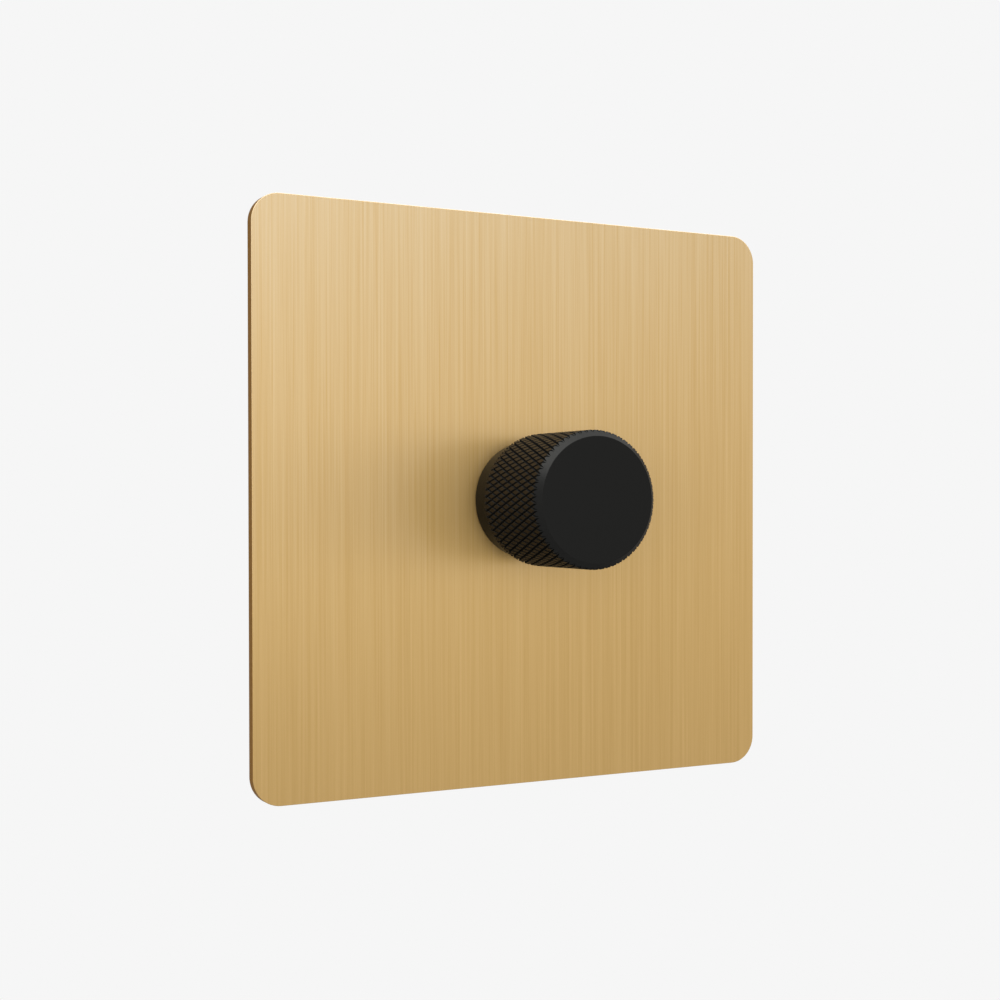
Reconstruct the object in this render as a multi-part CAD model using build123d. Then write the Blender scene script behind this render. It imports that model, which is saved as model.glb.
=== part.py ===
"""Rotary push dimmer switch for one wall box: brass plate, knurled knob and the module behind.

Frame: millimetres, +Z up, +X right. The wall is the plane Y = 0, the room lies towards -Y and the
wall box towards +Y. The knob turns about the Y axis.
"""

import os
from math import cos, pi, sin

from build123d import *

# Front plate
plate_side = 86.0
plate_thickness = 1.6
plate_corner_radius = 4.2
plate_edge_break = 0.18
plate_hole_radius = 7.3
plate_standoff = 2.4

# Moulded carrier behind the plate
carrier_inset = 2.0
carrier_corner_radius = 3.0
carrier_web = 1.2
carrier_skirt_wall = 1.5
carrier_rim = 5.5
carrier_wall_clearance = 0.3
hook_width = 10.0
hook_leg = 1.2
hook_nib = 0.7
hook_setback = 2.1
tongue_margin = 1.0
pry_notch_width = 9.0
pry_notch_height = 1.6

# Steel yoke and the soft ring behind it
yoke_thickness = 1.2
yoke_gap = 0.4
yoke_corner_radius = 2.6
gasket_thickness = 0.8
gasket_width = 2.6
gasket_inset = 1.0
fixing_spacing = 60.3
fixing_slot_length = 7.0
hook_slot_clearance = 0.35

# Wall box screws
box_screw_radius = 1.75
box_screw_length = 25.0
box_screw_head_radius = 3.6
box_screw_head_height = 2.1
box_screw_clearance = 1.2
head_clearance = 0.35

# Earth terminal on the yoke
earth_x = -18.0
earth_gap = 2.3
earth_width = 7.0
earth_depth = 8.0
earth_height = 6.6
wire_bore_radius = 1.9
wire_bore_setback = 2.9
terminal_screw_radius = 1.6
terminal_screw_reach = 1.6
terminal_screw_clearance = 0.05

# Dimmer module housing
housing_width = 48.0
housing_height = 46.0
housing_corner_radius = 2.0
housing_wall = 2.0
ledge_top = -6.0
deep_room = 10.4
board_rest_height = 0.4
board_rib_width = 1.4
barrier_thickness = 1.5
sink_thickness = 1.5
sink_inset = 0.3
peg_width = 5.0
peg_thickness = 1.2
peg_spacing = 26.0
peg_clearance = 0.1

# Line and load terminals
terminal_count = 2
terminal_pitch = 14.0
terminal_width = 7.0
terminal_depth = 7.6
terminal_height = 10.0
terminal_gap = 0.2

# Encoder
bush_radius = 4.5
bush_end_margin = 0.5
bush_plate = 1.0
bush_clearance = 0.1
nut_across_flats = 12.0
nut_thickness = 2.2
washer_thickness = 0.5
washer_radius = 6.7
washer_teeth = 12
washer_tooth_depth = 0.8
nut_clearance = 0.05
case_side = 13.4
case_wall = 0.8
base_thickness = 0.8
rotor_thickness = 1.4
rotor_flats = 24
rotor_running_gap = 0.1
rotor_end_gap = 0.15
shaft_radius = 3.0
shaft_running_gap = 0.04
shaft_collar_radius = 4.0
shaft_collar = 0.8
shaft_play = 0.05
shaft_flat_depth = 1.5
tail_reach = 0.4
tail_clearance = 0.06
push_travel = 0.5
leaf_half_span = 4.0
leaf_half_crown = 1.4
leaf_width = 3.0
leaf_sheet = 0.15
leaf_spare = 0.15
leaf_gap = 0.03

# Knob
knob_gap = 0.9
knob_length = 20.8
collar_length = 5.2
collar_base_radius = 8.7
collar_top_step = 0.06
knurl_starts = 60
knurl_half_pitch = 1.45
knurl_top_radius = 9.86
knurl_depth = 0.28
groove_share = 0.3
knurl_lead = 1.18
knurl_run_out = 0.75
knob_chamfer = 0.94
knob_face_wall = 5.5
insert_setback = 1.2
insert_across_flats = 9.4
insert_clearance = 0.03
insert_face_gap = 0.3
insert_shaft_gap = 1.0
insert_fit = 0.04
spring_thickness = 0.4
spring_width = 3.0
spring_length = 9.0

# Boards and what they carry
board_thickness = 1.2
board_gap = 0.3
board_spacing = 2.0
header_length = 20.0
header_width = 2.6
header_inset = 7.0
radio_width = 16.0
radio_height = 9.0
radio_thickness = 0.8
radio_gap = 1.9
shield_width = 11.0
shield_height = 6.8
shield_depth = 1.8
transistor_x = 14.0
transistor_z = 2.0
transistor_width = 10.0
transistor_height = 9.2
transistor_depth = 4.4
transistor_pin = 0.7
transistor_pin_pitch = 2.54
transistor_pins = 3
thermal_pad_thickness = 0.4
thermal_pad_margin = 0.6
fuse_width = 8.4
fuse_height = 4.0
fuse_depth = 4.6
fuse_inset = 8.0
part_gap = 0.4
film_x = -10.5
film_width = 15.0
film_height = 5.6
film_length = 9.4
bulk_x = 9.0
bulk_z = 8.0
bulk_radius = 6.0
bulk_length = 9.6
choke_x = -10.5
choke_side = 12.8
choke_hub_side = 5.0
choke_flange = 1.6
choke_length = 9.0
winding_side = 11.4
winding_gap = 0.1

# Stack of planes along the axis, from the wall outwards and then inwards
yoke_back = -gasket_thickness
yoke_front = yoke_back - yoke_thickness
plate_back = yoke_front - plate_standoff
plate_front = plate_back - plate_thickness
washer_front = yoke_front - washer_thickness
nut_front = washer_front - nut_thickness
bush_front = nut_front - bush_end_margin
knob_back = plate_front - knob_gap
knob_front = knob_back - knob_length
sink_back = yoke_back + sink_thickness
bush_back = sink_back + bush_plate
collar_front = bush_back + shaft_play
collar_back = collar_front + shaft_collar
rotor_front = collar_back + push_travel + rotor_end_gap
rotor_back = rotor_front + rotor_thickness
tail_end = rotor_back + tail_reach
leaf_crown = tail_end + leaf_gap
base_front = leaf_crown + push_travel + leaf_sheet + leaf_spare
base_back = base_front + base_thickness
control_back = base_back + board_thickness
power_front = control_back + board_spacing
power_back = power_front + board_thickness
ledge_floor = power_back + board_rest_height
ledge_back = ledge_floor + housing_wall
deep_floor = power_back + deep_room
deep_back = deep_floor + housing_wall
carrier_side = plate_side - 2 * carrier_inset
carrier_window = carrier_side - 2 * carrier_rim
hook_reach = carrier_window / 2 - hook_setback
yoke_side = carrier_side - 2 * (carrier_skirt_wall + yoke_gap)
inner_width = housing_width - 2 * housing_wall
inner_height = housing_height - 2 * housing_wall
deep_bottom = ledge_top + housing_wall
choke_z = deep_bottom + part_gap + choke_side / 2
film_z = choke_z + choke_side / 2 + part_gap + film_height / 2
radio_z = inner_height / 2 - radio_gap - radio_height / 2
header_z = header_inset - inner_height / 2
fuse_z = fuse_inset - inner_height / 2
earth_z = -(housing_height / 2 + earth_gap + earth_height / 2)


def facing(y):
    """The plane across the axis at depth y, seen from the room: local x is X, local y is Z."""
    return Plane(origin=(0, y, 0), x_dir=(1, 0, 0), z_dir=(0, -1, 0))


def slab(sketch, back, front):
    """The sketch extruded along the axis, from its back plane to its front plane."""
    return extrude(facing(back) * sketch, amount=back - front)


def turned(*profile):
    """A solid of revolution about the axis, from (radius, depth) points."""
    return revolve(make_face(Polyline(*profile, close=True)), axis=Axis.Y)


def rod(x, z, radius, back, front):
    """A round bar along the axis direction."""
    return slab(Pos(x, z) * Circle(radius), back, front)


def block(x, z, width, height, back, front):
    """A plain block centred on (x, z) between two depths."""
    return slab(Pos(x, z) * Rectangle(width, height), back, front)


def upright_rod(x, y, radius, bottom, top):
    """A round bar along Z."""
    return extrude(Plane((x, y, bottom)) * Circle(radius), amount=top - bottom)


def front_plate():
    plate = slab(RectangleRounded(plate_side, plate_side, plate_corner_radius), plate_back, plate_front)
    plate = chamfer(plate.faces().sort_by(Axis.Y)[0].edges(), plate_edge_break)
    return plate - rod(0, 0, plate_hole_radius, plate_back, plate_front)


def fixing_places():
    """The X places of the two box screws."""
    return [-fixing_spacing / 2, fixing_spacing / 2]


def plate_carrier():
    """Frame bonded to the plate: web, skirt towards the wall and two snap hooks through the yoke."""
    web_back = plate_back + carrier_web
    outline = RectangleRounded(carrier_side, carrier_side, carrier_corner_radius)
    inside = Rectangle(carrier_side - 2 * carrier_skirt_wall, carrier_side - 2 * carrier_skirt_wall)
    carrier = slab(outline - inside, -carrier_wall_clearance, web_back)
    carrier += slab(outline - Rectangle(carrier_window, carrier_window), web_back, plate_back)
    tongue_width = hook_width + 2 * tongue_margin
    tongue_height = carrier_window / 2 - hook_reach + tongue_margin
    nib_back = yoke_back + hook_leg / 2
    for side in (1, -1):
        tongue_z = side * (carrier_window / 2 - tongue_height / 2)
        leg_z = side * (hook_reach + hook_leg / 2)
        nib_z = side * (hook_reach + hook_leg + hook_nib / 2)
        carrier += block(0, tongue_z, tongue_width, tongue_height, web_back, plate_back)
        carrier += block(0, leg_z, hook_width, hook_leg, nib_back, web_back)
        carrier += block(0, nib_z, hook_width, hook_nib, nib_back, yoke_back)
    for x in fixing_places():
        carrier -= rod(x, 0, box_screw_head_radius + head_clearance, web_back, plate_back)
    notch_z = -carrier_side / 2
    notch_front = -carrier_wall_clearance - pry_notch_height
    return carrier - block(0, notch_z, pry_notch_width, 2 * carrier_skirt_wall, 0, notch_front)


def fixing_slots():
    """The two slots that the box screws pass through."""
    slot = SlotOverall(fixing_slot_length, 2 * (box_screw_radius + box_screw_clearance))
    return Sketch() + [Pos(x, 0) * slot for x in fixing_places()]


def mounting_yoke():
    outline = RectangleRounded(yoke_side, yoke_side, yoke_corner_radius)
    outline -= Circle(bush_radius + bush_clearance)
    outline -= fixing_slots()
    slot_height = hook_leg + hook_nib / 2 + 2 * hook_slot_clearance
    slot_z = hook_reach - hook_slot_clearance + slot_height / 2
    for side in (1, -1):
        outline -= Pos(0, side * slot_z) * Rectangle(hook_width + 2 * hook_slot_clearance, slot_height)
    return slab(outline, yoke_back, yoke_front)


def wall_gasket():
    outer = yoke_side - 2 * gasket_inset
    inner = outer - 2 * gasket_width
    ring = Rectangle(outer, outer) - Rectangle(inner, inner)
    return slab(ring - fixing_slots(), 0, yoke_back)


def yoke_screws():
    """The two screws into the wall box, with their heads in front of the yoke."""
    head_front = yoke_front - box_screw_head_height
    screws = Part()
    for x in fixing_places():
        screws += rod(x, 0, box_screw_head_radius, yoke_front, head_front)
        screws += rod(x, 0, box_screw_radius, yoke_front + box_screw_length, yoke_front)
    return screws


def clamp_block(x, z, width, height, front, depth):
    """A brass wire terminal: a wire bore along Z and a screw hole from the back."""
    back = front + depth
    bore_y = front + wire_bore_setback
    body = block(x, z, width, height, back, front)
    body -= upright_rod(x, bore_y, wire_bore_radius, z - height / 2, z + height / 2)
    return body - rod(x, z, terminal_screw_radius + terminal_screw_clearance, back, bore_y)


def clamp_screw(x, z, front, depth):
    """The headless screw of a wire terminal, backed off until the bore is open."""
    tip = front + wire_bore_setback + wire_bore_radius
    return rod(x, z, terminal_screw_radius, front + depth + terminal_screw_reach, tip)


def terminal_places():
    """The X places of the terminals along the ledge."""
    first = -(terminal_count - 1) / 2 * terminal_pitch
    return [first + i * terminal_pitch for i in range(terminal_count)]


def peg_places():
    """The four flat pegs of the housing's rim, as (x, z): two above and two below."""
    z = housing_height / 2 - housing_wall / 2
    return [(x, side * z) for x in (-peg_spacing / 2, peg_spacing / 2) for side in (1, -1)]


def module_housing():
    """Moulded tub, deep above and shallow below, where the terminals stand on its ledge."""
    outline = RectangleRounded(housing_width, housing_height, housing_corner_radius)
    tub = slab(outline, deep_back, sink_back)
    bottom = -housing_height / 2
    low_height = ledge_top - bottom
    low_z = bottom + low_height / 2
    tub -= block(0, low_z, housing_width, low_height, deep_back, ledge_back)
    tub -= block(0, 0, inner_width, inner_height, ledge_floor, sink_back)
    deep_height = inner_height / 2 - deep_bottom
    tub -= block(0, deep_bottom + deep_height / 2, inner_width, deep_height, deep_floor, ledge_floor)
    for x, z in peg_places():
        tub += block(x, z, peg_width, peg_thickness, sink_back, yoke_back)
    for side in (1, -1):
        rib_x = side * (inner_width - board_rib_width) / 2
        rib_height = deep_height / 2
        tub += block(rib_x, deep_bottom + deep_height / 2, board_rib_width, rib_height, deep_floor, power_back)
        low_rib_z = (deep_bottom - inner_height / 2) / 2
        tub += block(rib_x, low_rib_z, board_rib_width, rib_height, ledge_floor, power_back)
    barrier_x = [x - terminal_pitch / 2 for x in terminal_places()]
    barrier_x.append(barrier_x[-1] + terminal_pitch)
    for x in barrier_x:
        tub += block(x, low_z, barrier_thickness, low_height, deep_back, ledge_back)
    return tub


def heat_sink_plate():
    """Aluminium front of the module, staked onto the pegs of the housing."""
    outline = RectangleRounded(housing_width - 2 * sink_inset, housing_height - 2 * sink_inset, housing_corner_radius)
    outline -= Circle(bush_radius + bush_clearance)
    for x, z in peg_places():
        outline -= Pos(x, z) * Rectangle(peg_width + 2 * peg_clearance, peg_thickness + 2 * peg_clearance)
    return slab(outline, sink_back, yoke_back)


def encoder_bush():
    """Die-cast front of the encoder: a square plate with the threaded bush."""
    bush = slab(Rectangle(case_side, case_side), bush_back, sink_back)
    bush += rod(0, 0, bush_radius, sink_back, bush_front)
    return bush - rod(0, 0, shaft_radius + shaft_running_gap, bush_back, bush_front)


def lock_washer():
    """Thin steel washer with pointed teeth around its rim."""
    step = pi / washer_teeth
    points = []
    for k in range(2 * washer_teeth):
        radius = washer_radius - k % 2 * washer_tooth_depth
        points.append((radius * cos(k * step), radius * sin(k * step)))
    ring = make_face(Polyline(*points, close=True)) - Circle(bush_radius + nut_clearance)
    return slab(ring, yoke_front, washer_front)


def fixing_nut():
    hexagon = RegularPolygon(nut_across_flats / 2, 6, major_radius=False)
    return slab(hexagon - Circle(bush_radius + nut_clearance), washer_front, nut_front)


def cavity_radius():
    """The round room for the rotor inside the encoder case."""
    return case_side / 2 - case_wall


def encoder_case():
    return slab(Rectangle(case_side, case_side) - Circle(cavity_radius()), base_front, bush_back)


def encoder_base():
    return slab(Rectangle(case_side, case_side), base_back, base_front)


def tail_flat():
    """Distance of the tail's driving flat from the axis."""
    return shaft_radius - shaft_flat_depth


def flatted(radius, flat):
    """A circle with one flat, at a distance above its centre."""
    return Circle(radius) - Pos(0, flat + radius) * Rectangle(2 * radius, 2 * radius)


def encoder_rotor():
    """Detent wheel with a flat for each click, keyed to the shaft's flat and free along it."""
    bore = flatted(shaft_radius + tail_clearance, tail_flat() + tail_clearance)
    wheel = RegularPolygon(cavity_radius() - rotor_running_gap, rotor_flats)
    return slab(wheel - bore, rotor_back, rotor_front)


def shaft_front():
    """Depth of the shaft's front end, inside the knob's insert."""
    return knob_front + knob_face_wall + insert_shaft_gap


def insert_back():
    """Depth of the insert's back end, a little inside the knob."""
    return knob_back - insert_setback


def encoder_shaft():
    """Round shaft with a stop collar and a flat at each end."""
    shaft = turned(
        (0, shaft_front()), (shaft_radius, shaft_front()), (shaft_radius, collar_front),
        (shaft_collar_radius, collar_front), (shaft_collar_radius, collar_back),
        (shaft_radius, collar_back), (shaft_radius, tail_end), (0, tail_end),
    )
    flat_z = tail_flat() + shaft_flat_depth
    for back, front in ((insert_back(), shaft_front()), (tail_end, collar_back)):
        shaft -= block(0, flat_z, 2 * shaft_radius, 2 * shaft_flat_depth, back, front)
    return shaft


def switch_leaf():
    """Arched snap leaf on the encoder's base, with its crown under the shaft's tail."""
    outer = [
        (-leaf_half_span, base_front), (-leaf_half_span, base_front - leaf_sheet),
        (-leaf_half_crown, leaf_crown), (leaf_half_crown, leaf_crown),
        (leaf_half_span, base_front - leaf_sheet), (leaf_half_span, base_front),
    ]
    inner = [(leaf_half_crown, leaf_crown + leaf_sheet), (-leaf_half_crown, leaf_crown + leaf_sheet)]
    profile = make_face(Polyline(*outer, *inner, close=True))
    return extrude(profile, amount=leaf_width / 2, both=True)


def faceted(polygons):
    """A closed solid from flat polygons."""
    faces = [Face(Wire.make_polygon(points, close=True)) for points in polygons]
    return Solid(Shell(faces))


def ring_points(radius, y, turn):
    """Points on a circle about the axis, one for each start of the knurl."""
    step = 2 * pi / knurl_starts
    angles = [k * step + turn for k in range(knurl_starts)]
    return [Vector(radius * cos(a), y, radius * sin(a)) for a in angles]


def faceted_stack(rings):
    """A solid of flat strips between rings of (radius, depth), closed at both ends."""
    loops = [ring_points(radius, y, 0) for radius, y in rings]
    polygons = [loops[0], loops[-1]]
    for near, far in zip(loops, loops[1:]):
        for k in range(knurl_starts):
            n = (k + 1) % knurl_starts
            polygons.append([near[k], near[n], far[n], far[k]])
    return faceted(polygons)


def knurl_diamond(angle, y):
    """One raised diamond: a flat top and four flat flanks down to the crossings of the grooves."""
    half_angle = pi / knurl_starts
    node_radius = knurl_top_radius - knurl_depth
    half_width = node_radius * sin(half_angle)
    sag = node_radius * (1 - cos(half_angle))
    top_width = half_width * (1 - groove_share)
    top_length = knurl_half_pitch * top_width * (knurl_depth + sag) / (knurl_depth * half_width + sag * top_width)

    def place(radial, across, along):
        x = radial * cos(angle) - across * sin(angle)
        z = radial * sin(angle) + across * cos(angle)
        return Vector(x, y + along, z)

    low = [
        place(node_radius - sag, half_width, 0), place(node_radius, 0, knurl_half_pitch),
        place(node_radius - sag, -half_width, 0), place(node_radius, 0, -knurl_half_pitch),
    ]
    top = [
        place(knurl_top_radius, top_width, 0), place(knurl_top_radius, 0, top_length),
        place(knurl_top_radius, -top_width, 0), place(knurl_top_radius, 0, -top_length),
    ]
    flanks = [[low[i - 1], low[i], top[i], top[i - 1]] for i in range(len(low))]
    return [top, *flanks]


def knurl_bar(front, back):
    """A diamond-knurled bar that covers a stretch of the axis, with zigzag ends."""
    half_angle = pi / knurl_starts
    node_radius = knurl_top_radius - knurl_depth
    rows = int((back - front) / knurl_half_pitch) + 1
    polygons = []
    for row in range(rows + 1):
        y = front + row * knurl_half_pitch
        for k in range(knurl_starts):
            polygons += knurl_diamond((2 * k + row % 2) * half_angle, y)
    for row, way in ((0, -1), (rows, 1)):
        y = front + row * knurl_half_pitch
        turn = row % 2 * half_angle
        tips = ring_points(node_radius, y + way * knurl_half_pitch, turn)
        sides = ring_points(node_radius, y, turn + half_angle)
        centre = Vector(0, y + way * knurl_half_pitch, 0)
        for k in range(knurl_starts):
            polygons.append([tips[k], sides[k], centre])
            polygons.append([sides[k], tips[(k + 1) % knurl_starts], centre])
    return faceted(polygons)


def knob():
    """Turned knob: smooth collar, diamond knurl that runs out into it, chamfer and flat face."""
    grip_back = knob_back - collar_length
    root_radius = (knurl_top_radius - knurl_depth) * cos(pi / knurl_starts) - collar_top_step
    crest_radius = knurl_top_radius + collar_top_step
    face_radius = knurl_top_radius - knob_chamfer
    envelope = faceted_stack([
        (face_radius, knob_front), (crest_radius, knob_front + crest_radius - face_radius),
        (crest_radius, grip_back - knurl_run_out), (root_radius, grip_back),
    ])
    body = knurl_bar(knob_front - knurl_lead, grip_back) & envelope
    collar_radius = root_radius * cos(pi / knurl_starts) - collar_top_step
    body += turned((0, grip_back), (collar_radius, grip_back), (collar_base_radius, knob_back), (0, knob_back))
    return body - slab(insert_outline(insert_clearance), knob_back, knob_front + knob_face_wall)


def insert_outline(margin):
    """Hexagon of the insert, grown by a margin."""
    return RegularPolygon(insert_across_flats / 2 + margin, 6, major_radius=False)


def knob_insert():
    """Moulded hexagonal sleeve in the knob, with a D bore and a seat for the leaf spring."""
    front = knob_front + knob_face_wall + insert_face_gap
    sleeve = slab(insert_outline(0), insert_back(), front)
    bore = flatted(shaft_radius + insert_fit, tail_flat() + spring_thickness + insert_fit)
    return sleeve - slab(bore, insert_back(), shaft_front() - insert_fit)


def insert_spring():
    """Leaf spring between the shaft's flat and the insert."""
    z = tail_flat() + spring_thickness / 2
    back = insert_back()
    return block(0, z, spring_width, spring_thickness, back, back - spring_length)


def board_outline():
    return Rectangle(inner_width - 2 * board_gap, inner_height - 2 * board_gap)


def control_board():
    return slab(board_outline(), control_back, base_back)


def power_board():
    return slab(board_outline(), power_back, power_front)


def board_header():
    return block(0, header_z, header_length, header_width, power_front, control_back)


def radio_module():
    return block(0, radio_z, radio_width, radio_height, base_back, base_back - radio_thickness)


def radio_shield():
    back = base_back - radio_thickness
    return block(0, radio_z, shield_width, shield_height, back, back - shield_depth)


def mosfets():
    """Two power transistors on the heat sink, with their legs soldered to the control board."""
    front = sink_back + thermal_pad_thickness
    leg_z = transistor_z - transistor_height / 2 + transistor_pin / 2
    pair = Part()
    for side in (1, -1):
        x = side * transistor_x
        body = block(x, transistor_z, transistor_width, transistor_height, front + transistor_depth, front)
        for i in range(transistor_pins):
            leg_x = x + (i - (transistor_pins - 1) / 2) * transistor_pin_pitch
            body += block(leg_x, leg_z, transistor_pin, transistor_pin, base_back, front + transistor_depth)
        pair += body
    return pair


def thermal_pad():
    width = transistor_width + 2 * thermal_pad_margin
    height = transistor_height + 2 * thermal_pad_margin
    back = sink_back + thermal_pad_thickness
    pads = Part()
    for side in (1, -1):
        pads += block(side * transistor_x, transistor_z, width, height, back, sink_back)
    return pads


def fuse():
    """Block fuse on the control board."""
    return block(0, fuse_z, fuse_width, fuse_height, base_back, base_back - fuse_depth)


def film_capacitor():
    return block(film_x, film_z, film_width, film_height, power_back + film_length, power_back)


def bulk_capacitor():
    return rod(bulk_x, bulk_z, bulk_radius, power_back + bulk_length, power_back)


def choke_core():
    """Square ferrite bobbin on the power board."""
    end = power_back + choke_length
    core = block(choke_x, choke_z, choke_hub_side, choke_hub_side, end, power_back)
    core += block(choke_x, choke_z, choke_side, choke_side, power_back + choke_flange, power_back)
    return core + block(choke_x, choke_z, choke_side, choke_side, end, end - choke_flange)


def choke_winding():
    hub = choke_hub_side + 2 * winding_gap
    ring = Rectangle(winding_side, winding_side) - Rectangle(hub, hub)
    near = power_back + choke_flange + winding_gap
    far = power_back + choke_length - choke_flange - winding_gap
    return slab(Pos(choke_x, choke_z) * ring, far, near)


def earth_terminal():
    return clamp_block(earth_x, earth_z, earth_width, earth_height, yoke_back, earth_depth)


def earth_screw():
    return clamp_screw(earth_x, earth_z, yoke_back, earth_depth)


def terminal_z():
    """Centre height of the terminals, with their tops against the step of the housing."""
    return ledge_top - terminal_gap - terminal_height / 2


def terminal_pillars():
    pillars = Part()
    for x in terminal_places():
        pillars += clamp_block(x, terminal_z(), terminal_width, terminal_height, ledge_back, terminal_depth)
    return pillars


def terminal_screws():
    screws = Part()
    for x in terminal_places():
        screws += clamp_screw(x, terminal_z(), ledge_back, terminal_depth)
    return screws


PIECES = [
    front_plate, plate_carrier, mounting_yoke, wall_gasket, yoke_screws, earth_terminal, earth_screw,
    module_housing, heat_sink_plate, encoder_bush, lock_washer, fixing_nut, encoder_case, encoder_base,
    encoder_rotor, encoder_shaft, switch_leaf, knob, knob_insert, insert_spring,
    control_board, power_board, board_header, radio_module, radio_shield, mosfets, thermal_pad, fuse,
    film_capacitor, bulk_capacitor, choke_core, choke_winding, terminal_pillars, terminal_screws,
]

os.makedirs("parts", exist_ok=True)
for piece in PIECES:
    export_step(piece(), f"parts/{piece.__name__}.step")
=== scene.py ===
"""Looks of a rotary push dimmer: brushed brass plate, knurled knob and the module behind it."""

import logging
import math
from dataclasses import dataclass
from enum import Enum
from typing import Sequence

import bmesh
import bpy
from mathutils import Matrix, Vector


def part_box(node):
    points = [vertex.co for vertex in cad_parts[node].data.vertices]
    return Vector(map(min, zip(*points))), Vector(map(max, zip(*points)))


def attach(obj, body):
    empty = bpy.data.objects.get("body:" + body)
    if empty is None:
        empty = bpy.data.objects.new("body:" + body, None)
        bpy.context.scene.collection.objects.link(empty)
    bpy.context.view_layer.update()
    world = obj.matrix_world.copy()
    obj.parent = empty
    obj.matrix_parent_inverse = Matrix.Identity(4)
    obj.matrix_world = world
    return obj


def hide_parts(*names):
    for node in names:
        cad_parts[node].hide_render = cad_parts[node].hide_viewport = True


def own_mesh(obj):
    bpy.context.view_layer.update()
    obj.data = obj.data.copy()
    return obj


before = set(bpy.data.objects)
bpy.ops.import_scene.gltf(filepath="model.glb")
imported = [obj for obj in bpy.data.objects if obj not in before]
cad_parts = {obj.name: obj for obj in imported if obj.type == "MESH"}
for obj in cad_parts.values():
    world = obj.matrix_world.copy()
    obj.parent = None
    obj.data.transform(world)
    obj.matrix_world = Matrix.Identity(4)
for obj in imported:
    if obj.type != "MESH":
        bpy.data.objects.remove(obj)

LOG = logging.getLogger("dimmer")
MM = 0.001
MERGE_DISTANCE = 0.001 * MM
SLIVER = 0.004 * MM
QUARTER_TURN = math.pi / 2
# The range that most of one noise fills, and most of the sum of two.
ONE_NOISE = {"From Min": 0.3, "From Max": 0.7}
TWO_NOISES = {"From Min": 0.7, "From Max": 1.3}

Inputs = bpy.types.bpy_prop_collection
Point = tuple[float, float, float]
Profile = Sequence[tuple[float, float]]
Ring = Sequence[bmesh.types.BMVert]


class Solid(Enum):
    """How one closed mesh is combined with another."""

    JOIN = "UNION"
    CUT = "DIFFERENCE"
    KEEP_COMMON = "INTERSECT"


class Drive(Enum):
    """The way a screw's driven end points, as a turn about X from upright."""

    TO_ROOM = QUARTER_TURN
    TO_WALL = -QUARTER_TURN


class Grain(Enum):
    """How a surface was worked, as the stretch of its grain along X, Y and Z."""

    EVEN = (1.0, 1.0, 1.0)
    BRUSHED_UPRIGHT = (1.0, 1.0, 0.006)
    DRAWN_ACROSS = (0.02, 1.0, 1.0)
    DRAWN_ALONG_AXIS = (1.0, 0.02, 1.0)


def linear(colour: str) -> tuple[float, float, float, float]:
    """Turn an sRGB hex value into a linear colour.

    Args:
        colour: The value as #RRGGBB.

    Returns:
        Red, green, blue and alpha, in linear light.
    """
    channels = [int(colour[i:i + 2], 16) / 255 for i in (1, 3, 5)]
    red, green, blue = (c / 12.92 if c <= 0.04045 else ((c + 0.055) / 1.055) ** 2.4 for c in channels)
    return red, green, blue, 1.0


def add(
    tree: bpy.types.NodeTree,
    kind: str,
    settings: dict[str | int, object] | None = None,
    links: dict[str | int, bpy.types.NodeSocket] | None = None,
) -> bpy.types.Node:
    """Add a node with its settings and links.

    Args:
        tree: The tree that gets the node.
        kind: The node's type name.
        settings: Properties by name, and input values by socket name or number.
        links: Output sockets, by the name or number of the input they feed.

    Returns:
        The new node.
    """
    node = tree.nodes.new(kind)
    for key, value in (settings or {}).items():
        if isinstance(key, str) and key in node.bl_rna.properties:
            setattr(node, key, value)
        else:
            node.inputs[key].default_value = value
    for key, socket in (links or {}).items():
        tree.links.new(socket, node.inputs[key])
    return node


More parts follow.
